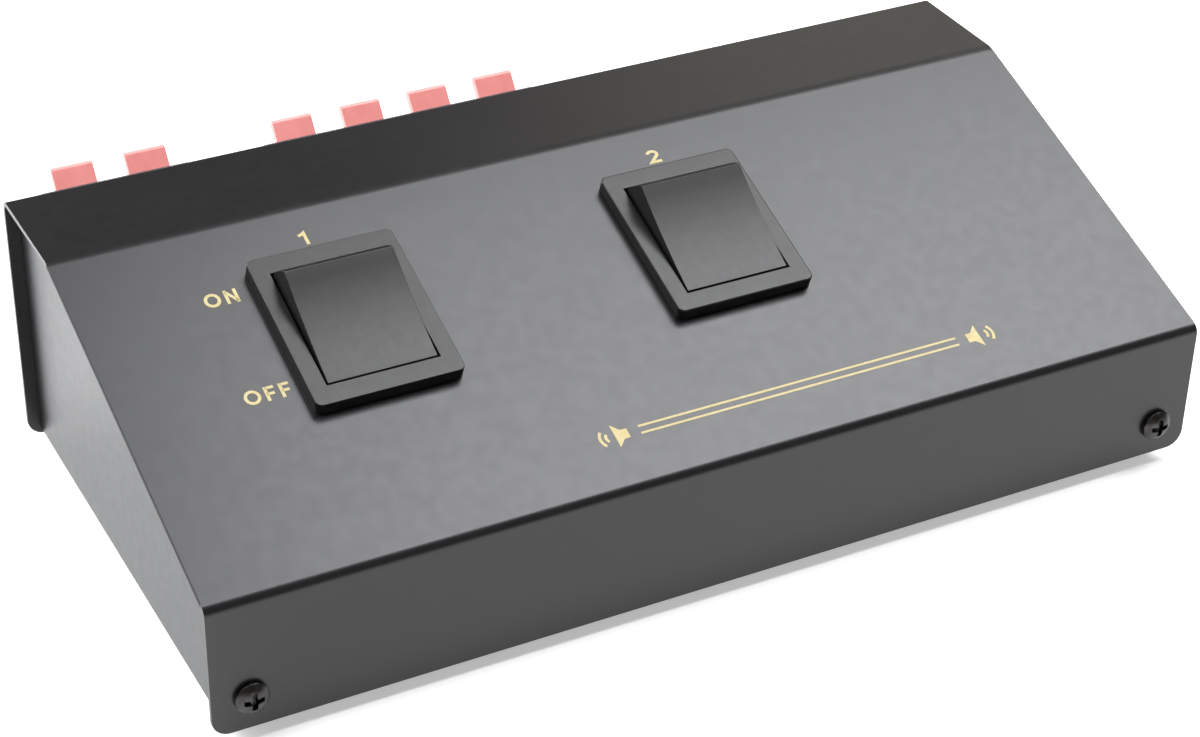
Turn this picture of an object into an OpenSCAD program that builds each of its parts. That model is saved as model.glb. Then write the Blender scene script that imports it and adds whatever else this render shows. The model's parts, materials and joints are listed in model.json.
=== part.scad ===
// Two-way speaker selector: a folded steel box with two rocker switches on its
// sloping face and two boards of sprung wire terminals on its back.
// Millimetres. +X is right, +Y is to the rear and +Z is up. The origin is the
// middle of the whole footprint, at the level that the feet stand on.

/* [Case] */
// Width of the cover
case_w = 180; // [170:1:240]
// Depth of the cover, from the front apron to the rear panel
case_d = 90; // [88:1:130]
// Height of the cover at the rear
case_h = 47; // [46:1:60]
// Height of the front apron
apron_h = 24; // [22:1:30]
// Depth of the level strip along the top
strip_d = 23; // [18:1:25]
// Thickness of the sheet steel
sheet_t = 0.8; // [0.6:0.1:1.2]
// Outside radius of the front and rear bends
bend_r = 2; // [1.5:0.1:3]
// Outside radius of the shallow bend along the top
ridge_r = 8; // [4:0.5:12]
// Radius of the lower corners of the apron and the rear panel
corner_r = 3; // [1:0.5:5]
// How far the cover stands out past each side wall
side_recess = 2.2; // [1:0.1:4]
// Height of the flanges that the cover screws bite into
flange_h = 10; // [9:0.1:10]
// Outside radius of the bends along the tray's sides
tray_bend_r = 1.4; // [1.3:0.1:2.5]

/* [Screws and feet] */
// Distance of a cover screw from the end of the cover
screw_inset = 6.4; // [6.2:0.1:12]
// Height of a cover screw above the lower edge
screw_z = 6; // [4.5:0.1:6.5]
// Diameter of a cover screw's head
screw_head_d = 5.6; // [5:0.1:7]
// Height of a cover screw's head
screw_head_h = 1.9; // [1.4:0.1:2.5]
// Diameter of a screw's shank
shank_d = 2.9; // [2.4:0.1:3.2]
// Length of a cover screw's shank
shank_len = 7; // [5:0.5:10]
// Diameter of a foot where it meets the tray
foot_d = 10; // [6:0.5:14]
// Height of a foot
foot_h = 2.5; // [1.5:0.1:5]
// Distance from the tray's edges to the middle of a foot
foot_inset = 11; // [9:0.5:20]

/* [Rocker switches] */
// Distance from the left end of the cover to the middle of the first switch
switch_inset = 42; // [38:1:46]
// Distance between the middles of the two switches
switch_pitch = 64; // [60:1:78]
// Middle of the switches, up the slope from its lower bend
switch_v = 44.4; // [42:0.1:46]
// Width of the bezel
bezel_w = 25.5; // [24.5:0.1:30]
// Length of the bezel, up the slope
bezel_l = 31.2; // [30:0.1:36]
// Thickness of the bezel
bezel_t = 2.3; // [1.5:0.1:3]
// Corner radius of the bezel
bezel_r = 1.2; // [1:0.1:3]
// Width of the rocker
rocker_w = 18.8; // [16:0.1:18.8]
// Radius of the rocker's rounded ends about its pivot
rocker_r = 12.8; // [12:0.1:12.8]
// Height of the rocker's face above its pivot
rocker_top = 7.8; // [7:0.1:9]
// Depth of the hollow along the rocker's face
rocker_dish = 0.5; // [0.3:0.1:1]
// Depth of the pivot below the sloping face
pivot_depth = 2.9; // [2.5:0.1:3.5]
// Angle that the rocker leans to either side
rocker_tilt = 14; // [8:1:14]
// Depth of the switch body below the sloping face
body_depth = 20; // [19.5:0.5:21]
// Length of the solder lugs below the switch body
lug_len = 9; // [6:0.5:9]
// Distance of each contact column from the middle of the switch
pole_x = 4.7; // [4.5:0.1:5]
// Distance of the end lugs from the middle lug
lug_pitch = 9.4; // [9:0.1:9.8]

/* [Wire terminals] */
// Distance between neighbouring terminals
term_pitch = 13; // [12.5:0.1:13.2]
// Distance between the red row and the black row
row_pitch = 16; // [15.5:0.1:16]
// Height of the red row's pivots above the cover's lower edge
row_z = 36.5; // [36.5:0.1:37]
// Distance from the left end of the cover to the middle of the amplifier board
board_inset = 21.4; // [21.3:0.1:24]
// Gap between the two boards
board_gap = 1.7; // [1:0.1:30]
// Width of a lever
lever_w = 7.3; // [6:0.1:7.4]
// Length of a lever from its pivot to its tip
lever_len = 9.6; // [8:0.1:10]
// Thickness of a lever's tab
lever_t = 1.5; // [1.2:0.1:1.8]
// Angle that a resting lever leans up from the level
lever_angle = 52; // [48:1:56]
// Diameter of a wire hole
wire_hole_d = 3.2; // [2.5:0.1:3.4]
// How far a board stands out behind the rear panel
board_out = 6.5; // [6:0.1:7]
// Width of the ear that a board's screw goes through
ear_w = 6.2; // [6:0.1:7]
// Diameter of the head of a terminal screw
term_head_d = 5; // [4.5:0.1:5.6]
// Height of the head of a terminal screw
term_head_h = 1.6; // [1.2:0.1:2]
// Length of the shank of a terminal screw
term_screw_len = 6; // [5:0.5:8]

/* [Hidden] */
fit = 0.15; // gap between pieces that lie against each other
slack = 0.3; // gap beside pieces that move
pin_gap = 0.05; // gap round a hinge pin or a screw
screw_play = 0.3; // gap round a screw in the cover
past = 1; // how far a cut runs past the face that it opens
eps = 0.01; // how far joined shapes reach into each other
$fn = 48;

// the slope, from the bend above the apron to the ridge
slope_angle = atan2(case_h - apron_h, case_d - strip_d);
tray_x = case_w / 2 - side_recess;
tray_y0 = sheet_t + fit;
tray_y1 = case_d - sheet_t - fit;

// rocker switch, in the frame of the slope: X across, Y up the slope, Z out of it
chamber_r = rocker_r + slack;
chamber_w = rocker_w + 2 * slack;
body_wall = 1;
body_end_wall = 0.9;
body_w = chamber_w + 2 * body_wall;
body_l = 2 * (chamber_r + body_end_wall);
cutout_gap = 0.3;
floor_t = 2;
chamber_step = 0.6; // how much shorter the chamber is at each end below the pivot
divider_t = 1; // between the two contact columns
divider_gap = 1.5; // under the contact plates
barb_w = 10;
barb = 0.8;
rocker_skirt = 3;
rocker_wall = 1.2;
tube_r = 2.4;
tube_bottom = 5.5;
rocker_pin_r = 1.5;
plunger_r = 1.5;
plunger_tip = 8.2; // centre of the plunger's round tip, below the pivot
plunger_len = 6;
spring_wire_r = 0.2;
spring_turns = 6;
plate_t = 0.6;
plate_w = 5;
plate_half_l = 10.8;
plate_bend = 8; // how far each wing rises from the middle of the plate
plate_top = plunger_tip + plunger_r + slack; // below the pivot
stud_r = 1.5;
stud_h = 0.7;
lug_w = 4.8;
lug_t = 0.8;
ledge_l = 3.6;
stud_gap = 0.4; // height of the fixed studs on the ledges
lug_hole_r = 0.8;
lug_hole_end = 3; // from the hole's middle to the end of the lug
ledge_top = plate_top + plate_t + stud_h + slack + stud_gap; // below the pivot

// wire terminals, in the frame of the rear panel: Y out of it, from its outer face
pivot_y = 4;
well_w = lever_w + 2 * slack;
well_roof = 5; // top of a lever's well above its pivot
well_floor = 3.4; // below the pivot
wire_drop = 5.9; // from a lever's pivot down to its wire hole
hole_back = 1.5;
cavity_w = 6;
cavity_depth = 6; // inside the rear panel's outer face
cavity_floor = 8.3; // below the pivot
cavity_roof = 0.7; // below the pivot
board_in = 8; // how far a board reaches inside the rear panel
board_roof = 1; // over the upper wells
board_foot = 10; // below the lower pivots
board_t = 2;
board_lip = 1.5;
boss_r = 2;
lever_pin_r = 0.94;
lever_pin_len = 0.9;
arm_w = 5;
arm_t = 1.3;
arm_len = 3;
arm_angle = 255;
strip_w = 5;
strip_t = 0.4;
window_r = 1.7;
tag_len = 14; // from the rear panel's outer face to the end of the tag
leaf_y = 1.2;
leaf_top = 1.2; // below the pivot
board_z0 = row_z - row_pitch - board_foot;
board_z1 = row_z + well_roof + board_roof;

// the footprint: from the front screws' heads to the levers' tips
front_y = -screw_head_h;
back_y = case_d + pivot_y + lever_len * cos(lever_angle) + lever_t / 2;
mid_y = (front_y + back_y) / 2;

switch_x = switch_inset - case_w / 2;
in_board_x = board_inset - case_w / 2;
out_board_x = in_board_x + 3 * term_pitch + 2 * ear_w + board_gap;

SWITCHES = [["1", switch_x], ["2", switch_x + switch_pitch]];
CHANNELS = ["left", "right"];
ROWS = [["red", row_z], ["black", row_z - row_pitch]];
// every terminal: its name, its column's X, its pivot's height and its row
TERMINALS = concat(
    [for (c = [0:1], r = ROWS)
        [str("in_", CHANNELS[c], "_", r[0]), in_board_x + (c - 0.5) * term_pitch, r[1], r[0]]],
    [for (s = [0:1], c = [0:1], r = ROWS)
        let (x = out_board_x + (2 * s + c - 1.5) * term_pitch)
            [str("out_", s + 1, "_", CHANNELS[c], "_", r[0]), x, r[1], r[0]]]
);
BOARDS = [["amplifier", in_board_x, 2], ["speaker", out_board_x, 4]];
FEET = [["front_left", -1, 0], ["front_right", 1, 0], ["rear_left", -1, 1], ["rear_right", 1, 1]];

// ---------- helpers ----------

function unit(v) = v / norm(v);
function half_angle(a, b, c) = acos(unit(a - b) * unit(c - b)) / 2;
function inward(a, b, c) = unit(unit(a - b) + unit(c - b));
// Corner b between a and c, moved inwards so that both its sides move by t
function inset_corner(a, b, c, t) = b + inward(a, b, c) * t / sin(half_angle(a, b, c));
function fillet_ends(a, b, c, r) =
    let (k = r / tan(half_angle(a, b, c))) [b + unit(a - b) * k, b + unit(c - b) * k];

// Middle of the arc of radius r that rounds corner b between a and c
function arc_middle(a, b, c, r) = b + inward(a, b, c) * r / sin(half_angle(a, b, c));

// Rectangle about the origin with round corners
module round_rectangle(w, l, r) {
    difference() {
        square([w, l], center = true);
        for (i = [-1, 1], j = [-1, 1])
            scale([i, j]) translate([w / 2 - r, l / 2 - r]) difference() {
                square(r + past);
                circle(r = r);
            }
    }
}

// Convex outline whose corners have the given radii. Each arc crosses its two sides a hair
// beyond them instead of just touching them.
module round_outline(points, radii) {
    hair = 0.005;
    n = len(points);
    difference() {
        polygon(points);
        for (i = [0:n - 1]) {
            a = points[(i + n - 1) % n];
            b = points[i];
            c = points[(i + 1) % n];
            if (radii[i] > 0) {
                middle = arc_middle(a, b, c, radii[i] - hair);
                ends = fillet_ends(a, b, c, radii[i] - hair);
                difference() {
                    polygon([middle, middle + 1.5 * (ends[0] - middle), 2 * b - middle,
                        middle + 1.5 * (ends[1] - middle)]);
                    translate(middle) circle(r = radii[i]);
                }
            }
        }
    }
}

// Extrudes an outline drawn in Y and Z along X, to both sides of X = 0
module along_x(length) {
    rotate([90, 0, 90])
        translate([0, 0, -length / 2])
            linear_extrude(length) children();
}

// A box from its lowest corner to its highest
module block(low, high) {
    translate(low) cube(high - low);
}

// A hole's bore, from past the outer face down to past the inner one
module through_hole(r, thickness) {
    translate([0, 0, -thickness - past]) cylinder(r = r, h = thickness + 2 * past);
}

module in_case() {
    translate([0, -mid_y, foot_h]) children();
}

// The frame of a switch: the sloping face under its middle
module on_slope(x) {
    translate([x, 0, apron_h]) rotate([slope_angle, 0, 0]) translate([0, switch_v, 0]) children();
}

// The frame of a rocker's pivot
module at_pivot(x) {
    on_slope(x) translate([0, 0, -pivot_depth]) children();
}

// Pan head screw with a cross recess. Its head stands on Z = 0 and its shank hangs below.
module pan_screw(head_d, head_h, length) {
    dome = 0.6 * head_h;
    dome_r = (pow(head_d / 2, 2) + dome * dome) / (2 * dome);
    recess_w = 0.16 * head_d;
    recess_l = 0.58 * head_d;
    recess_h = 0.65 * head_h;
    tip = shank_d / 2;
    difference() {
        intersection() {
            cylinder(d = head_d, h = head_h);
            translate([0, 0, head_h - dome_r]) sphere(r = dome_r);
        }
        for (a = [0, 90])
            rotate([0, 0, a])
                block([-recess_l / 2, -recess_w / 2, head_h - recess_h],
                    [recess_l / 2, recess_w / 2, head_h + past]);
    }
    translate([0, 0, tip - length]) cylinder(d = shank_d, h = length - tip);
    translate([0, 0, -length]) cylinder(d1 = shank_d / 3, d2 = shank_d, h = tip);
}

// Places a screw shape at each cover screw, its axis out of the panel that it goes through
module at_cover_screws() {
    for (side = [-1, 1]) {
        x = side * (case_w / 2 - screw_inset);
        translate([x, 0, screw_z]) rotate([90, 0, 0]) children();
        translate([x, case_d, screw_z]) rotate([-90, 0, 0]) children();
    }
}

// Places a shape at each terminal board's screws
module at_board_screws(y) {
    for (b = BOARDS, side = [-1, 1])
        translate([b[1] + side * (b[2] * term_pitch / 2 + ear_w / 2), case_d + y, (board_z0 + board_z1) / 2])
            rotate([-90, 0, 0]) children();
}

// ---------- case ----------

// The cover's corners, as points of Y and Z, from the apron's foot to the rear panel's foot
OUTLINE = [[0, 0], [0, apron_h], [case_d - strip_d, case_h], [case_d, case_h], [case_d, 0]];
BEND_R = [0, bend_r, ridge_r, bend_r, 0];
// The same corners, each moved inwards from both sides, with the feet at -drop
function inset_outline(inset, drop) = [[inset, -drop],
    for (i = [1:3]) inset_corner(OUTLINE[i - 1], OUTLINE[i], OUTLINE[i + 1], inset), [case_d - inset, -drop]];

// Side view of the cover, moved inwards by inset and down to -drop
module case_outline(inset, drop) {
    round_outline(inset_outline(inset, drop), [for (r = BEND_R) max(0, r - inset)]);
}

// Side view of a tray wall, with its corners cut to pass inside the cover's bends
module wall_outline(foot) {
    inset = sheet_t + fit;
    p = inset_outline(inset, -foot);
    polygon([p[0], for (i = [1:3]) each fillet_ends(p[i - 1], p[i], p[i + 1], BEND_R[i] - inset), p[4]]);
}

// What is cut off a lower corner of the apron or the rear panel
module corner_trim(side) {
    x = side * case_w / 2;
    translate([x - side * corner_r, -eps, corner_r]) rotate([-90, 0, 0])
        difference() {
            scale([side, 1, 1]) block([0, 0, 0], [corner_r + past, corner_r + past, case_d + 2 * eps]);
            translate([0, 0, -past]) cylinder(r = corner_r, h = case_d + 2 * past);
        }
}

module top_cover() {
    color([0.09, 0.09, 0.10])
    difference() {
        along_x(case_w) difference() {
            case_outline(0, 0);
            case_outline(sheet_t, 1);
        }
        for (side = [-1, 1]) corner_trim(side);
        for (s = SWITCHES)
            on_slope(s[1])
                block([-body_w / 2 - cutout_gap, -body_l / 2 - cutout_gap, -sheet_t - past],
                    [body_w / 2 + cutout_gap, body_l / 2 + cutout_gap, past]);
        for (b = BOARDS)
            block([b[1] - b[2] * term_pitch / 2 - cutout_gap, case_d - sheet_t - past, board_z0 - cutout_gap],
                [b[1] + b[2] * term_pitch / 2 + cutout_gap, case_d + past, board_z1 + cutout_gap]);
        at_cover_screws() through_hole(shank_d / 2 + screw_play, sheet_t);
        at_board_screws(0) through_hole(shank_d / 2 + pin_gap, sheet_t);
    }
}

module base_tray() {
    inner_x = tray_x - sheet_t;
    relief = 1.5; // gap at each end of a flange
    depth = tray_y1 - tray_y0;
    color([0.09, 0.09, 0.10])
    difference() {
        union() {
            block([tray_bend_r - tray_x, tray_y0, 0], [tray_x - tray_bend_r, tray_y1, sheet_t]);
            for (side = [-1, 1]) {
                scale([side, 1, 1]) translate([tray_x - tray_bend_r, tray_y1, tray_bend_r]) rotate([90, 0, 0])
                    rotate([0, 0, -90]) rotate_extrude(angle = 90)
                        translate([tray_bend_r - sheet_t, 0]) square([sheet_t, depth]);
                translate([side * (tray_x - sheet_t / 2), 0, 0]) along_x(sheet_t) wall_outline(tray_bend_r);
            }
            for (y = [tray_y0, tray_y1 - sheet_t])
                block([-inner_x + relief, y, 0], [inner_x - relief, y + sheet_t, flange_h]);
        }
        at_cover_screws() through_hole(shank_d / 2 + pin_gap, tray_y0 + sheet_t);
    }
}

module cover_screws() {
    color([0.12, 0.12, 0.13])
        at_cover_screws() pan_screw(screw_head_d, screw_head_h, shank_len);
}

module terminal_screws() {
    color([0.12, 0.12, 0.13])
        at_board_screws(board_t) pan_screw(term_head_d, term_head_h, term_screw_len);
}

module foot(f) {
    edge = 0.8;
    y = f[2] == 0 ? tray_y0 + foot_inset : tray_y1 - foot_inset;
    color([0.05, 0.05, 0.05])
        translate([f[1] * (tray_x - foot_inset), y, -foot_h])
            union() {
                cylinder(d1 = foot_d - 2 * edge, d2 = foot_d, h = edge);
                translate([0, 0, edge]) cylinder(d = foot_d, h = foot_h - edge);
            }
}

// ---------- rocker switch ----------

module switch_body(x) {
    divider_top = -plate_top - pivot_depth - plate_t - divider_gap;
    color([0.07, 0.07, 0.07])
    on_slope(x) difference() {
        union() {
            linear_extrude(bezel_t) round_rectangle(bezel_w, bezel_l, bezel_r);
            block([-body_w / 2, -body_l / 2, -body_depth], [body_w / 2, body_l / 2, eps]);
            // barbs that snap under the sheet
            for (side = [-1, 1])
                scale([1, side, 1]) translate([0, body_l / 2 - eps, -sheet_t - fit])
                    along_x(barb_w) polygon([[0, 0], [barb, 0], [0, -5 * barb]]);
        }
        difference() {
            union() {
                translate([-chamber_w / 2, 0, -pivot_depth]) rotate([0, 90, 0])
                    cylinder(r = chamber_r, h = chamber_w);
                block([-chamber_w / 2, chamber_step - chamber_r, floor_t - body_depth],
                    [chamber_w / 2, chamber_r - chamber_step, -pivot_depth]);
            }
            block([-divider_t / 2, -chamber_r, -body_depth], [divider_t / 2, chamber_r, divider_top]);
        }
        translate([-body_w / 2 - past, 0, -pivot_depth]) rotate([0, 90, 0])
            cylinder(r = rocker_pin_r + pin_gap, h = body_w + 2 * past);
        for (side = [-1, 1], row = [-1:1])
            translate([side * pole_x, row * lug_pitch, 0])
                block([-lug_w / 2 - fit, -lug_t / 2 - fit, -body_depth - past],
                    [lug_w / 2 + fit, lug_t / 2 + fit, floor_t - body_depth + past]);
    }
}

// Side view of the rocker: a disc about the pivot, cut level above and below, grown inwards by inset
module rocker_outline(inset, low, high) {
    intersection() {
        circle(r = rocker_r - inset);
        translate([-rocker_r, low]) square([2 * rocker_r, high - low]);
    }
}

module rocker(x) {
    half_face = sqrt(rocker_r * rocker_r - rocker_top * rocker_top);
    dish_r = (half_face * half_face + rocker_dish * rocker_dish) / (2 * rocker_dish);
    roof = rocker_top - rocker_dish - rocker_wall;
    pin_len = body_wall + slack - fit;
    color([0.07, 0.07, 0.07])
    at_pivot(x) rotate([rocker_tilt, 0, 0]) {
        difference() {
            union() {
                difference() {
                    along_x(rocker_w) difference() {
                        rocker_outline(0, -rocker_skirt, rocker_top);
                        translate([0, rocker_top - rocker_dish + dish_r]) circle(r = dish_r, $fn = 360);
                    }
                    along_x(rocker_w - 2 * rocker_wall)
                        rocker_outline(rocker_wall, -rocker_skirt - past, roof);
                }
                for (side = [-1, 1])
                    translate([side * pole_x, 0, -tube_bottom])
                        cylinder(r = tube_r, h = tube_bottom + roof + eps);
            }
            for (side = [-1, 1])
                translate([side * pole_x, 0, -tube_bottom - past])
                    cylinder(r = plunger_r + pin_gap, h = tube_bottom + past + roof);
        }
        for (side = [-1, 1])
            translate([side * (rocker_w / 2 + pin_len / 2 - eps), 0, 0]) rotate([0, 90, 0])
                cylinder(r = rocker_pin_r, h = pin_len + 2 * eps, center = true);
    }
}

module plungers(x) {
    color([0.85, 0.85, 0.80])
    at_pivot(x) rotate([rocker_tilt, 0, 0])
        for (side = [-1, 1])
            translate([side * pole_x, 0, -plunger_tip]) {
                cylinder(r = plunger_r, h = plunger_len);
                sphere(r = plunger_r);
            }
}

// A coil as one swept tube, standing on Z = 0
module coil(r, wire_r, height, turns) {
    around = 10;
    sides = 6;
    n = around * turns;
    rise = (height - 2 * wire_r) / n;
    skin([for (i = [0:n]) let (a = 360 * i / around, out = [cos(a), sin(a), 0])
        [for (j = [0:sides - 1]) let (b = 360 * j / sides)
            (r + wire_r * cos(b)) * out + [0, 0, wire_r * (1 + sin(b)) + rise * i]]]);
}

// Closes a list of rings of points into one solid
module skin(rings) {
    sides = len(rings[0]);
    last = len(rings) - 1;
    polyhedron(
        points = [for (ring = rings) each ring],
        faces = concat(
            [[for (j = [0:sides - 1]) j]],
            [for (i = [0:last - 1], j = [0:sides - 1])
                let (a = i * sides + j, b = i * sides + (j + 1) % sides)
                    each [[a, a + sides, b + sides], [a, b + sides, b]]],
            [[for (j = [sides - 1:-1:0]) last * sides + j]]
        )
    );
}

module plunger_springs(x) {
    low = plunger_len - plunger_tip;
    high = rocker_top - rocker_dish - rocker_wall;
    color([0.75, 0.76, 0.78])
    at_pivot(x) rotate([rocker_tilt, 0, 0])
        for (side = [-1, 1])
            translate([side * pole_x, 0, low])
                coil(plunger_r - 2 * spring_wire_r, spring_wire_r, high - low, spring_turns);
}

// A plate that rocks on the middle lug, drawn level, about its lower edge there
module contact_plates(x) {
    color([0.80, 0.60, 0.30])
    at_pivot(x) translate([0, 0, -plate_top - plate_t]) rotate([-plate_bend, 0, 0])
        for (side = [-1, 1])
            translate([side * pole_x, 0, 0]) {
                rise = plate_half_l * tan(plate_bend);
                along_x(plate_w) polygon([[0, 0], [plate_half_l, rise], [plate_half_l, rise + plate_t],
                    [0, plate_t], [-plate_half_l, rise + plate_t], [-plate_half_l, rise]]);
                for (end = [-1, 1])
                    rotate([end * plate_bend, 0, 0]) translate([0, end * lug_pitch, -stud_h])
                        cylinder(r = stud_r, h = stud_h + plate_t / 2);
            }
}

module solder_lugs(x) {
    low = body_depth + lug_len - pivot_depth;
    floor_top = body_depth - floor_t - pivot_depth;
    color([0.78, 0.78, 0.76])
    at_pivot(x)
        for (side = [-1, 1]) translate([side * pole_x, 0, 0])
            for (row = [-1:1]) translate([0, row * lug_pitch, 0]) {
                top = row == 0 ? plate_top + plate_t + slack : ledge_top;
                difference() {
                    block([-lug_w / 2, -lug_t / 2, -low], [lug_w / 2, lug_t / 2, -top]);
                    translate([0, 0, lug_hole_end - low]) rotate([90, 0, 0])
                        cylinder(r = lug_hole_r, h = lug_t + 2 * past, center = true);
                }
                // the flange that stands on the floor of the switch body
                block([-lug_w / 2, -ledge_l / 2, -floor_top], [lug_w / 2, ledge_l / 2, lug_t - floor_top]);
                if (row != 0) {
                    block([-lug_w / 2, -ledge_l / 2, -top - lug_t], [lug_w / 2, ledge_l / 2, -top]);
                    translate([0, 0, -top - eps]) cylinder(r = stud_r, h = stud_gap + eps);
                }
            }
}

// ---------- wire terminals ----------

// The space that one terminal needs in its board
module terminal_cut(x, z) {
    translate([x, case_d, z]) {
        block([-well_w / 2, hole_back - eps, -well_floor], [well_w / 2, board_out + past, well_roof]);
        block([-cavity_w / 2, -cavity_depth, -cavity_floor], [cavity_w / 2, hole_back, -cavity_roof]);
        translate([0, hole_back - past, -wire_drop]) rotate([-90, 0, 0])
            cylinder(d = wire_hole_d, h = board_out + 2 * past);
        block([-strip_w / 2 - fit, -board_in - past, -cavity_floor],
            [strip_w / 2 + fit, past - cavity_depth, strip_t + fit - cavity_floor]);
        translate([-well_w / 2 - lever_pin_len, pivot_y, 0]) rotate([0, 90, 0])
            cylinder(r = lever_pin_r + pin_gap, h = well_w + 2 * lever_pin_len);
    }
}

module terminal_board(b) {
    half = b[2] * term_pitch / 2;
    color([0.06, 0.06, 0.06])
    difference() {
        union() {
            block([b[1] - half, case_d - board_in, board_z0], [b[1] + half, case_d + board_out, board_z1]);
            block([b[1] - half - ear_w, case_d, board_z0 - board_lip],
                [b[1] + half + ear_w, case_d + board_t, board_z1 + board_lip]);
        }
        for (t = TERMINALS)
            if (abs(t[1] - b[1]) < half) terminal_cut(t[1], t[2]);
        at_board_screws(board_t) through_hole(shank_d / 2 + pin_gap, board_t);
    }
}

// A lever's side view, resting, about its pivot
module lever_outline() {
    circle(r = boss_r);
    rotate(lever_angle) translate([0, -lever_t / 2]) square([lever_len, lever_t]);
    rotate(lever_angle) translate([lever_len, 0]) circle(d = lever_t);
}

module lever(t) {
    color(t[3] == "red" ? [0.90, 0.20, 0.20] : [0.06, 0.06, 0.06])
        translate([t[1], case_d + pivot_y, t[2]]) {
            along_x(lever_w) lever_outline();
            along_x(arm_w) rotate(arm_angle) translate([0, -arm_t / 2]) square([arm_len, arm_t]);
            rotate([0, 90, 0])
                cylinder(r = lever_pin_r, h = lever_w + 2 * (slack + lever_pin_len - fit), center = true);
        }
}

module contact_strips(b) {
    color([0.80, 0.80, 0.78])
        for (t = TERMINALS)
            if (abs(t[1] - b[1]) < b[2] * term_pitch / 2)
                translate([t[1], case_d, t[2]])
                    difference() {
                        translate([0, 0, -cavity_floor]) along_x(strip_w) union() {
                            translate([-tag_len, 0]) square([tag_len + leaf_y, strip_t]);
                            translate([leaf_y - strip_t, 0]) square([strip_t, cavity_floor - leaf_top]);
                        }
                        // the window that the bare wire is pushed through, and the hole in the tag
                        translate([0, 0, -wire_drop]) rotate([-90, 0, 0])
                            cylinder(r = window_r, h = leaf_y + past);
                        translate([0, lug_hole_end - tag_len, -cavity_floor - past])
                            cylinder(r = lug_hole_r, h = strip_t + 2 * past);
                    }
}

// ---------- the nodes ----------

in_case() {
    top_cover();
    base_tray();
    cover_screws();
    terminal_screws();
    for (f = FEET)
        foot(f);
    for (s = SWITCHES) {
        switch_body(s[1]);
        rocker(s[1]);
        plungers(s[1]);
        plunger_springs(s[1]);
        contact_plates(s[1]);
        solder_lugs(s[1]);
    }
    for (b = BOARDS) {
        terminal_board(b);
        contact_strips(b);
    }
    for (t = TERMINALS)
        lever(t);
}
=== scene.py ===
"""A speaker selector switch: folded steel box, two rocker switches and two boards of sprung wire terminals.

The object's sizes are written in millimetres and turned into metres with MM. The floor and the lights are
written in metres, and the scales of textures are per metre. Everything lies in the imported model's frame.
"""

import json
import math

import bmesh
import bpy
from mathutils import Matrix, Vector

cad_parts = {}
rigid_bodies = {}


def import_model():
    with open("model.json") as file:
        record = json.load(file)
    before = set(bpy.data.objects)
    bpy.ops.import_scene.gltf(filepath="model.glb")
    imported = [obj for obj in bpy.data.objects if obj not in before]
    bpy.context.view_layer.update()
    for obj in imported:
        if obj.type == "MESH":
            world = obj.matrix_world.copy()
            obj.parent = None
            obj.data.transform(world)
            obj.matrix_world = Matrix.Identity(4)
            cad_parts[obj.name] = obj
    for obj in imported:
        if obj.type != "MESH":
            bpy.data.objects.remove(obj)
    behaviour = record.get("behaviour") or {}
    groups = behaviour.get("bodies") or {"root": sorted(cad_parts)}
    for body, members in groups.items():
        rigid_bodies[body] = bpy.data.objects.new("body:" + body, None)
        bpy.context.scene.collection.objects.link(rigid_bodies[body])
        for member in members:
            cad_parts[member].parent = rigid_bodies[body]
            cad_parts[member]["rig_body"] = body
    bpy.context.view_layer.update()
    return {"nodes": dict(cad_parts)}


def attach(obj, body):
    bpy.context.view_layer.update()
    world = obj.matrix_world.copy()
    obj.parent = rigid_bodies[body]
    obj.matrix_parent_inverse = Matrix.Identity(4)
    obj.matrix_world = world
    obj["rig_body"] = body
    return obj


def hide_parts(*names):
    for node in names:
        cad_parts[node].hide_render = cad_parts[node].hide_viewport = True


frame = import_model()
nodes = frame["nodes"]

MM = 0.001

# The case, as in the part's source
CASE_W, CASE_D, CASE_H = 180, 90, 47
APRON_H, STRIP_D = 24, 23
FOOT_H = 2.5
MID_Y = 49.380  # from the apron's face to the middle of the footprint
SLOPE = math.atan2(CASE_H - APRON_H, CASE_D - STRIP_D)
SLOPE_TURN = Matrix.Rotation(SLOPE, 4, "X")


def slope_point(x, v):
    """A point of the sloping face in the shared frame, from millimetres across and up the slope."""
    y = v * math.cos(SLOPE) - MID_Y
    z = APRON_H + v * math.sin(SLOPE) + FOOT_H
    return Vector((x, y, z)) * MM


def link(obj):
    bpy.context.scene.collection.objects.link(obj)
    return obj


def mesh_object(name, bm, material):
    """Makes an object of a finished bmesh and frees the bmesh."""
    mesh = bpy.data.meshes.new(name)
    bm.to_mesh(mesh)
    bm.free()
    mesh.materials.append(material)
    return link(bpy.data.objects.new(name, mesh))


# ---------- materials ----------

# A colour or roughness goes from one end to the other while its noise goes from low to high
NOISE_LOW, NOISE_HIGH = 0.35, 0.65

# The matt cut edges of the cover beside the slope
COVER_END = CASE_W / 2 - 0.1  # just inside the cover's ends
APRON_BEND = 1.5  # how far back the bend above the apron reaches
BEND_Y = APRON_BEND - MID_Y
RIDGE_Y = CASE_D - STRIP_D - MID_Y
EDGE_ROUGHNESS = 0.75


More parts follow.
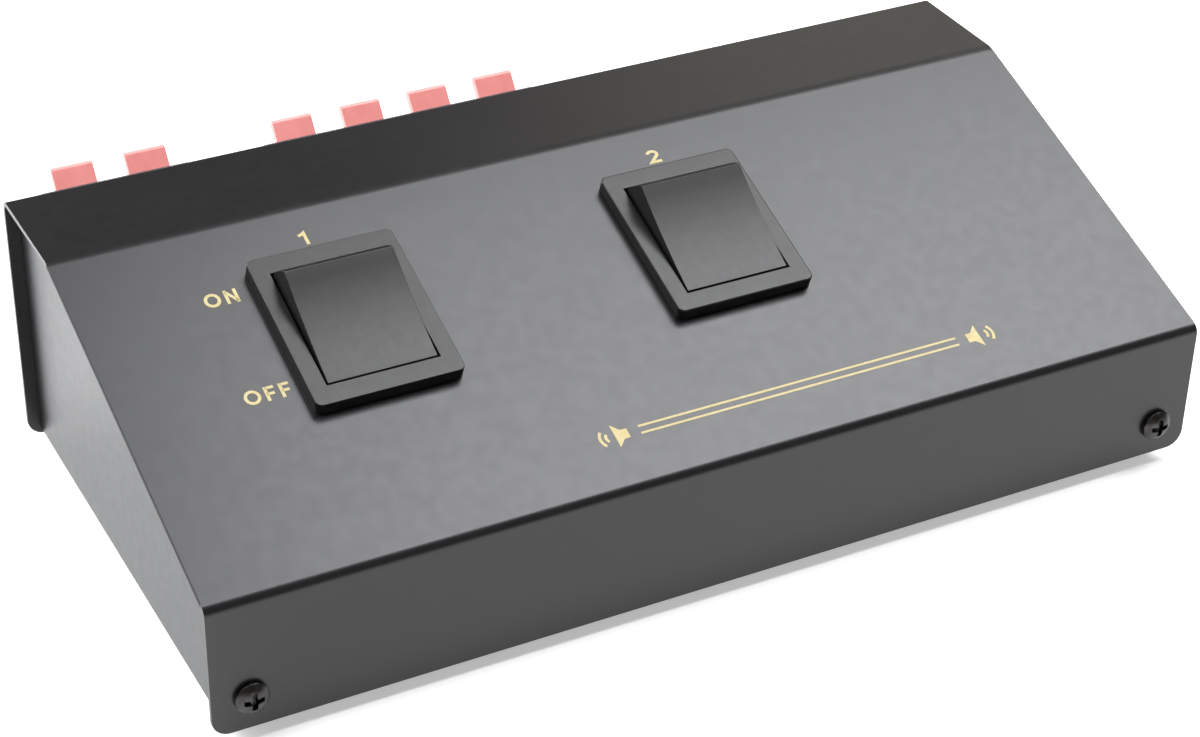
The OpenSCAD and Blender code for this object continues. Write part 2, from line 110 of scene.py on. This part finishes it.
class NodeMaterial:
    """A node material with one principled shader, and short ways to add to it."""

    def __init__(self, name, color, roughness, **sockets):
        self.material = bpy.data.materials.new(name)
        self.material.use_nodes = True
        self.tree = self.material.node_tree
        self.shader = self.tree.nodes["Principled BSDF"]
        self.coordinates = None
        self.put("Base Color", (*color, 1.0))
        self.put("Roughness", roughness)
        for socket, value in sockets.items():
            self.put(socket.replace("_", " "), value)

    def put(self, socket, value):
        """Sets a constant on the shader's own socket."""
        self.shader.inputs[socket].default_value = value

    def join(self, source, target):
        self.tree.links.new(source, target)

    def feed(self, socket, source):
        """Links a source to one of the shader's sockets."""
        self.join(source, self.shader.inputs[socket])

    def add(self, kind, **values):
        """A new node. Each value is for an attribute of the node, or else for the input of that name."""
        node = self.tree.nodes.new(kind)
        for key, value in values.items():
            if hasattr(node, key):
                setattr(node, key, value)
            else:
                node.inputs[key].default_value = value
        return node

    def place(self):
        """Coordinates of the object, in metres."""
        if self.coordinates is None:
            self.coordinates = self.add("ShaderNodeTexCoord").outputs["Object"]
        return self.coordinates

    def noise(self, scale, detail=3.0, rough=0.55, stretch=None):
        node = self.add("ShaderNodeTexNoise", Scale=scale, Detail=detail, Roughness=rough)
        source = self.place()
        if stretch:
            mapping = self.add("ShaderNodeMapping", Scale=stretch)
            self.join(source, mapping.inputs["Vector"])
            source = mapping.outputs["Vector"]
        self.join(source, node.inputs["Vector"])
        return node.outputs["Fac"]

    def ramp(self, noise, dark, light):
        """A noise turned into colours from dark to light."""
        node = self.add("ShaderNodeValToRGB")
        first, last = node.color_ramp.elements
        first.position, last.position = NOISE_LOW, NOISE_HIGH
        first.color, last.color = (*dark, 1.0), (*light, 1.0)
        self.join(noise, node.inputs["Fac"])
        return node.outputs["Color"]

    def span(self, noise, low, high):
        """A noise turned into numbers from low to high."""
        limits = {"From Min": NOISE_LOW, "From Max": NOISE_HIGH, "To Min": low, "To Max": high}
        node = self.add("ShaderNodeMapRange", **limits)
        self.join(noise, node.inputs["Value"])
        return node.outputs["Result"]

    def calculate(self, operation, first, second=None):
        """An operation on one or two sources. The second may be a plain number."""
        node = self.add("ShaderNodeMath", operation=operation)
        self.join(first, node.inputs[0])
        if isinstance(second, float):
            node.inputs[1].default_value = second
        elif second is not None:
            self.join(second, node.inputs[1])
        return node.outputs["Value"]

    def vary_color(self, scale, dark, light, stretch=None):
        self.feed("Base Color", self.ramp(self.noise(scale, stretch=stretch), dark, light))

    def vary_roughness(self, scale, low, high, stretch=None):
        self.feed("Roughness", self.span(self.noise(scale, stretch=stretch), low, high))

    def bump(self, source, depth, strength):
        """A relief of the given depth in millimetres."""
        node = self.add("ShaderNodeBump", Strength=strength, Distance=depth * MM)
        self.join(source, node.inputs["Height"])
        self.feed("Normal", node.outputs["Normal"])


def paint_material():
    """Satin enamel, which is matt on the cut edges of the cover beside the slope."""
    look = NodeMaterial("case_paint", (0.0062, 0.0062, 0.0078), 0.325, IOR=1.5)
    look.vary_color(45, (0.0055, 0.0055, 0.0070), (0.0070, 0.0070, 0.0085))
    axes = look.add("ShaderNodeSeparateXYZ")
    look.join(look.place(), axes.inputs[0])
    x, y = axes.outputs["X"], axes.outputs["Y"]
    at_end = look.calculate("GREATER_THAN", look.calculate("ABSOLUTE", x), COVER_END * MM)
    before_ridge = look.calculate("LESS_THAN", y, RIDGE_Y * MM)
    behind_bend = look.calculate("GREATER_THAN", y, BEND_Y * MM)
    edge = look.calculate("MULTIPLY", look.calculate("MULTIPLY", at_end, before_ridge), behind_bend)
    sheen = look.span(look.noise(420), 0.31, 0.34)
    matt = look.calculate("MULTIPLY", edge, EDGE_ROUGHNESS)
    look.feed("Roughness", look.calculate("MAXIMUM", sheen, matt))
    look.bump(look.noise(900, detail=2.0), 0.004, 0.3)  # the fine ripple of sprayed enamel
    return look.material


def switch_plastic_material():
    look = NodeMaterial("switch_plastic", (0.009, 0.009, 0.009), 0.4, IOR=1.5, Specular_IOR_Level=0.34)
    look.vary_color(300, (0.007, 0.007, 0.007), (0.010, 0.010, 0.010))
    look.vary_roughness(900, 0.29, 0.33)
    look.bump(look.noise(4200, detail=4.0, rough=0.7), 0.012, 0.55)  # spark-eroded mould texture
    return look.material


def board_plastic_material():
    look = NodeMaterial("board_plastic", (0.018, 0.018, 0.018), 0.42, IOR=1.5)
    look.vary_color(200, (0.015, 0.015, 0.015), (0.022, 0.022, 0.022))
    look.vary_roughness(350, 0.36, 0.48)
    look.bump(look.noise(2500), 0.010, 0.3)
    return look.material


def lever_material(name, dark, light):
    look = NodeMaterial(name, light, 0.34, IOR=1.49)
    look.vary_color(220, dark, light, stretch=(1.0, 1.0, 0.35))
    look.vary_roughness(600, 0.30, 0.40)
    look.bump(look.noise(900, detail=2.0), 0.008, 0.3)
    return look.material


def metal_material(name, dark, light, roughness, stretch=None):
    """Metal whose grain may be stretched along one axis."""
    look = NodeMaterial(name, light, roughness, Metallic=1.0)
    look.vary_color(800, dark, light)
    look.vary_roughness(1500, roughness - 0.06, roughness + 0.08, stretch=stretch)
    look.bump(look.noise(3000, stretch=stretch), 0.004, 0.5)
    return look.material


def rubber_material():
    look = NodeMaterial("foot_rubber", (0.016, 0.016, 0.016), 0.72, IOR=1.52)
    look.vary_color(400, (0.012, 0.012, 0.012), (0.024, 0.024, 0.023))
    look.bump(look.noise(2600, detail=4.0), 0.03, 0.5)
    return look.material


def nylon_material():
    look = NodeMaterial("plunger_plastic", (0.72, 0.70, 0.62), 0.4, IOR=1.53)
    look.vary_color(600, (0.66, 0.64, 0.56), (0.74, 0.72, 0.64))
    look.bump(look.noise(1500), 0.006, 0.3)
    return look.material


def print_material():
    look = NodeMaterial("gold_print", (0.56, 0.47, 0.24), 0.55, IOR=1.33)
    look.vary_color(900, (0.53, 0.44, 0.21), (0.59, 0.50, 0.27))
    look.bump(look.noise(3500), 0.006, 0.5)
    return look.material


def floor_material():
    """A pale ground that gives off a little light, as a light table does."""
    look = NodeMaterial("pale_floor", (0.86, 0.86, 0.86), 0.6)
    look.vary_color(3, (0.84, 0.84, 0.84), (0.88, 0.88, 0.88))
    look.put("Emission Color", (1.0, 1.0, 1.0, 1.0))
    look.put("Emission Strength", 0.42)
    return look.material


DRAWN_GRAIN = (0.2, 1.0, 1.0)  # scales of a grain drawn out along x

PAINT = paint_material()
SWITCH_PLASTIC = switch_plastic_material()
BOARD_PLASTIC = board_plastic_material()
LEVER_RED = lever_material("lever_red", (0.86, 0.29, 0.27), (0.92, 0.33, 0.31))
LEVER_BLACK = lever_material("lever_black", (0.014, 0.014, 0.014), (0.022, 0.022, 0.022))
SCREW = metal_material("screw_steel", (0.045, 0.043, 0.042), (0.075, 0.072, 0.070), 0.34)
SPRING = metal_material("spring_steel", (0.50, 0.51, 0.52), (0.62, 0.63, 0.64), 0.26)
BRASS = metal_material("contact_brass", (0.62, 0.42, 0.17), (0.76, 0.54, 0.24), 0.3)
TINNED = metal_material("tinned_metal", (0.56, 0.56, 0.54), (0.70, 0.70, 0.67), 0.32, stretch=DRAWN_GRAIN)
RUBBER = rubber_material()
NYLON = nylon_material()
GOLD = print_material()


# ---------- the case, the switches and the terminals ----------

WELD = 2e-6  # corners closer than this are one corner, in metres
FLAT_ANGLE = 0.4  # faces that meet at less than this angle are one face, in degrees
SHARP_ANGLE = 28.0  # edges that turn by more than this angle are rounded, in degrees
BEVEL_SEGMENTS = 2
NORMAL_WEIGHT = 100  # large faces outweigh small ones, so that they go on looking flat

LEVER_ROUNDING = 0.22
PLAN = [  # start of the node's name, rounding of its edges, material
    ("top_cover", 0.15, PAINT),
    ("base_tray", 0.12, PAINT),
    ("cover_screws", 0.12, SCREW),
    ("terminal_screws", 0.10, SCREW),
    ("foot_", 0.25, RUBBER),
    ("switch_body_", 0.40, SWITCH_PLASTIC),
    ("rocker_", 0.20, SWITCH_PLASTIC),
    ("plungers_", 0, NYLON),
    ("plunger_springs_", 0, SPRING),
    ("contact_plates_", 0.05, BRASS),
    ("solder_lugs_", 0.05, TINNED),
    ("amplifier_board", 0.25, BOARD_PLASTIC),
    ("speaker_board", 0.25, BOARD_PLASTIC),
    ("amplifier_contact_strips", 0, TINNED),
    ("speaker_contact_strips", 0, TINNED),
]


def plan_of(node):
    """The rounding and the material of a CAD node."""
    if node.startswith("lever_"):
        return LEVER_ROUNDING, LEVER_RED if node.endswith("_red") else LEVER_BLACK
    return next(row[1:] for row in PLAN if node.startswith(row[0]))


def body_of_node(node):
    return nodes[node]["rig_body"]


def soften(node, width, material):
    """A copy of a CAD node whose sharp edges are rounded, which stands for that node.
    """
    bm = bmesh.new()
    bm.from_mesh(nodes[node].data)
    bmesh.ops.remove_doubles(bm, verts=bm.verts, dist=WELD)
    bmesh.ops.dissolve_limit(bm, angle_limit=math.radians(FLAT_ANGLE), verts=bm.verts, edges=bm.edges)
    piece = mesh_object(node + ".soft", bm, material)
    for face in piece.data.polygons:
        face.use_smooth = True
    bevel = piece.modifiers.new("Bevel", "BEVEL")
    bevel.width = width * MM
    bevel.segments = BEVEL_SEGMENTS
    bevel.limit_method = "ANGLE"
    bevel.angle_limit = math.radians(SHARP_ANGLE)
    flatten = piece.modifiers.new("Weighted", "WEIGHTED_NORMAL")
    flatten.mode = "FACE_AREA"
    flatten.weight = NORMAL_WEIGHT
    flatten.keep_sharp = True
    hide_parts(node)
    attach(piece, body_of_node(node))


def dress(node, material):
    """Gives a CAD node that stays in view its material."""
    data = nodes[node].data
    data.materials.clear()
    data.materials.append(material)


for node in sorted(nodes):
    width, material = plan_of(node)
    if width:
        soften(node, width, material)
    else:
        dress(node, material)


# ---------- printed marks ----------

PRINT_H = 0.03  # how far the print stands on the paint
PRINT_WELD = 1e-4  # corners of the print closer than this are one corner
MITRE_LIMIT = 0.35  # keeps the mitres of sharp corners short

# Shares of a character's height
STROKE = 0.19
EDGE = STROKE / 2  # from a character's side or foot to the middle of a stroke along it
TOP = 1 - EDGE
CHARACTER_GAP = 0.27


def arc(x, y, radius_x, radius_y, start, end, steps=20):
    """Points of an elliptical arc, its angles in degrees."""
    turns = [math.radians(start + (end - start) * i / steps) for i in range(steps + 1)]
    return [(x + radius_x * math.cos(t), y + radius_y * math.sin(t)) for t in turns]


def stem(x):
    """An upright stroke."""
    return [(x, 0), (x, 1)]


GLYPHS = {  # each character as its width and the middles of its strokes, for a height of 1
    "1": (0.46, [[(EDGE - 0.14, 0.72), (0.17, 0.79), (0.32, TOP - 0.02), (0.32, 0)]]),
    "2": (0.74, [arc(0.36, 0.68, 0.29, 0.32 - EDGE, 165, -35) + [(0.09, EDGE), (0.74, EDGE)]]),
    "O": (0.96, [arc(0.48, 0.5, 0.48 - EDGE, 0.5 - EDGE, 0, 360, steps=40)]),
    "N": (0.76, [stem(EDGE), [(EDGE, TOP), (0.76 - EDGE, EDGE)], stem(0.76 - EDGE)]),
    "F": (0.60, [stem(EDGE), [(EDGE, TOP), (0.60, TOP)], [(EDGE, 0.48), (0.54, 0.48)]]),
}

MARKS = [  # name, text, its middle across, its feet up the slope, its height
    ("number_1", "1", -48.7, 62.35, 2.9),
    ("number_2", "2", 16.0, 62.2, 3.0),
    ("word_on", "ON", -66.2, 54.2, 2.85),
    ("word_off", "OFF", -66.3, 33.8, 2.85),
]

# The ornament: a loudspeaker sign at each end of a double line, along the slope's lower edge
SIGN_X, SIGN_V = 17.0, 10.4  # its middle
SIGN_REACH = 32.0  # from its middle to the magnet of each sign
SIGN_H = 4.6
RULE_GAP = 2.0  # between a sign's magnet and the line
RULE_SHIFT = 0.7  # from its middle to each of the two lines
RULE_W = 0.4
RULE_ENDS = (SIGN_X - SIGN_REACH + RULE_GAP, SIGN_X + SIGN_REACH - RULE_GAP)

# Shares of a sign's height
CONE = [(0, -0.2), (0.24, -0.2), (0.52, -0.5), (0.52, 0.5), (0.24, 0.2), (0, 0.2)]
WAVE_X = 0.62  # middle of the sound waves
WAVE_RADII = (0.24, 0.46)
WAVE_STROKE = 0.11
WAVE_ANGLE = 42  # up and down from the sign's axis, in degrees


def ribbon(bm, points, width):
    """A flat stroke along the points, with mitred corners."""
    sides = []
    for i, here in enumerate(points):
        here = Vector(here)
        before = Vector(points[i - 1]) if i > 0 else None
        after = Vector(points[i + 1]) if i < len(points) - 1 else None
        come = (here - before).normalized() if before else (after - here).normalized()
        go = (after - here).normalized() if after else come
        normal = Vector((-(come + go).y, (come + go).x)).normalized()
        reach = width / 2 / max(MITRE_LIMIT, normal.dot(Vector((-come.y, come.x))))
        sides.append((here + normal * reach, here - normal * reach))
    for (left, right), (far_left, far_right) in zip(sides, sides[1:]):
        corners = [bm.verts.new((*point, 0)) for point in (right, far_right, far_left, left)]
        bm.faces.new(corners)


def thicken(bm):
    """Gives flat faces the print's height, with their feet on the paint."""
    bmesh.ops.remove_doubles(bm, verts=bm.verts, dist=PRINT_WELD)
    made = bmesh.ops.extrude_face_region(bm, geom=bm.faces[:])
    tops = [part for part in made["geom"] if isinstance(part, bmesh.types.BMVert)]
    bmesh.ops.translate(bm, verts=tops, vec=(0, 0, PRINT_H))


def place_print(name, bm, x, v):
    """Lays a print drawn in millimetres on the slope, its origin at x and v."""
    thicken(bm)
    bm.transform(Matrix.Translation(slope_point(x, v)) @ SLOPE_TURN @ Matrix.Scale(MM, 4))
    piece = mesh_object(name, bm, GOLD)
    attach(piece, "case")


def mark(name, text, x, v, height):
    """Printed characters of the given height, centred on x with their feet at v."""
    total = sum(GLYPHS[character][0] for character in text) + CHARACTER_GAP * (len(text) - 1)
    bm = bmesh.new()
    pen = -total / 2
    for character in text:
        width, strokes = GLYPHS[character]
        for points in strokes:
            drawn = [((pen + px) * height, py * height) for px, py in points]
            ribbon(bm, drawn, STROKE * height)
        pen += width + CHARACTER_GAP
    place_print(name, bm, x, v)


def speaker_sign(name, x, v, height, facing):
    """A loudspeaker seen from the side with two sound waves, its magnet's end at x."""
    bm = bmesh.new()
    bm.faces.new([bm.verts.new((px * height, py * height, 0)) for px, py in CONE])
    for radius in WAVE_RADII:
        wave = arc(WAVE_X, 0, radius, radius, -WAVE_ANGLE, WAVE_ANGLE, steps=12)
        ribbon(bm, [(px * height, py * height) for px, py in wave], WAVE_STROKE * height)
    bmesh.ops.scale(bm, vec=(facing, 1, 1), verts=bm.verts)
    if facing < 0:
        bmesh.ops.reverse_faces(bm, faces=bm.faces)
    place_print(name, bm, x, v)


def rule(name, x0, x1, v, width):
    """A printed line from x0 to x1."""
    bm = bmesh.new()
    ribbon(bm, [(x0, 0), (x1, 0)], width)
    place_print(name, bm, 0, v)


for row in MARKS:
    mark(*row)
for name, facing in (("left", -1), ("right", 1)):
    speaker_sign("speaker_sign_" + name, SIGN_X + facing * SIGN_REACH, SIGN_V, SIGN_H, facing)
for name, side in (("lower", -1), ("upper", 1)):
    rule("rule_" + name, *RULE_ENDS, SIGN_V + side * RULE_SHIFT, RULE_W)


# ---------- floor, lights and camera ----------

FLOOR_REACH = 3.0  # from the floor's middle to its sides, in metres
WORLD_COLOR = (1.0, 0.95, 0.87, 1.0)
WORLD_STRENGTH = 0.16
LIGHTS = [  # name, watts, width and length, place, the point that it faces, colour
    ("overhead", 24.8, (1.05, 0.80), (0.72, 0.10, 1.25), (0.72, 0.10, 0), (0.97, 0.98, 1.0)),
    ("left_fill", 22.0, (0.9, 1.5), (-0.75, 0.10, 1.6), (-0.2, 0, 0), (0.96, 0.98, 1.0)),
    ("rear_left", 7.5, (0.4, 0.4), (-0.42, 0.60, 0.30), (-0.08, 0.05, 0), (0.96, 0.98, 1.0)),
    ("rear_right", 2.2, (0.9, 0.9), (1.4, 1.8, 1.1), (0, 0, 0), (1.0, 0.92, 0.80)),
]

# The camera as solved from the corners in the photograph: y from the apron's face, z from the case's floor
CAMERA_X, CAMERA_Y, CAMERA_Z = -191.672, -311.611, 278.3
AZIMUTH, ELEVATION, ROLL = -28.056, 33.083, 1.316  # in degrees
LENS, SENSOR_W = 84.34, 36.0


def make_floor():
    bm = bmesh.new()
    bmesh.ops.create_grid(bm, x_segments=8, y_segments=8, size=FLOOR_REACH)
    floor = mesh_object("floor", bm, floor_material())


def make_world():
    world = bpy.data.worlds.new("studio")
    world.use_nodes = True
    back = world.node_tree.nodes["Background"]
    back.inputs["Color"].default_value = WORLD_COLOR
    back.inputs["Strength"].default_value = WORLD_STRENGTH
    bpy.context.scene.world = world


def soft_light(name, power, size, at, to, color):
    data = bpy.data.lights.new(name, "AREA")
    data.shape = "RECTANGLE"
    data.size, data.size_y = size
    data.energy = power
    data.color = color
    light = link(bpy.data.objects.new(name, data))
    light.location = at
    light.rotation_euler = (Vector(to) - Vector(at)).to_track_quat("-Z", "Y").to_euler()
    light.visible_camera = False


def make_camera():
    azimuth, elevation, roll = (math.radians(angle) for angle in (AZIMUTH, ELEVATION, ROLL))
    back = Vector((
        math.sin(azimuth) * math.cos(elevation),
        -math.cos(azimuth) * math.cos(elevation),
        math.sin(elevation),
    ))
    right = (-back).cross(Vector((0, 0, 1))).normalized()
    up = right.cross(-back).normalized()
    axis_x = right * math.cos(roll) + up * math.sin(roll)
    axis_y = up * math.cos(roll) - right * math.sin(roll)
    data = bpy.data.cameras.new("camera")
    data.sensor_fit = "HORIZONTAL"
    data.sensor_width = SENSOR_W
    data.lens = LENS
    data.clip_start, data.clip_end = 0.01, 20.0
    camera = link(bpy.data.objects.new("camera", data))
    turn = Matrix((axis_x, axis_y, back)).transposed().to_4x4()
    place = Vector((CAMERA_X, CAMERA_Y - MID_Y, CAMERA_Z + FOOT_H)) * MM
    camera.matrix_world = Matrix.Translation(place) @ turn
    bpy.context.scene.camera = camera


make_floor()
make_world()
for row in LIGHTS:
    soft_light(*row)
make_camera()
bpy.context.scene.view_settings.view_transform = "Standard"
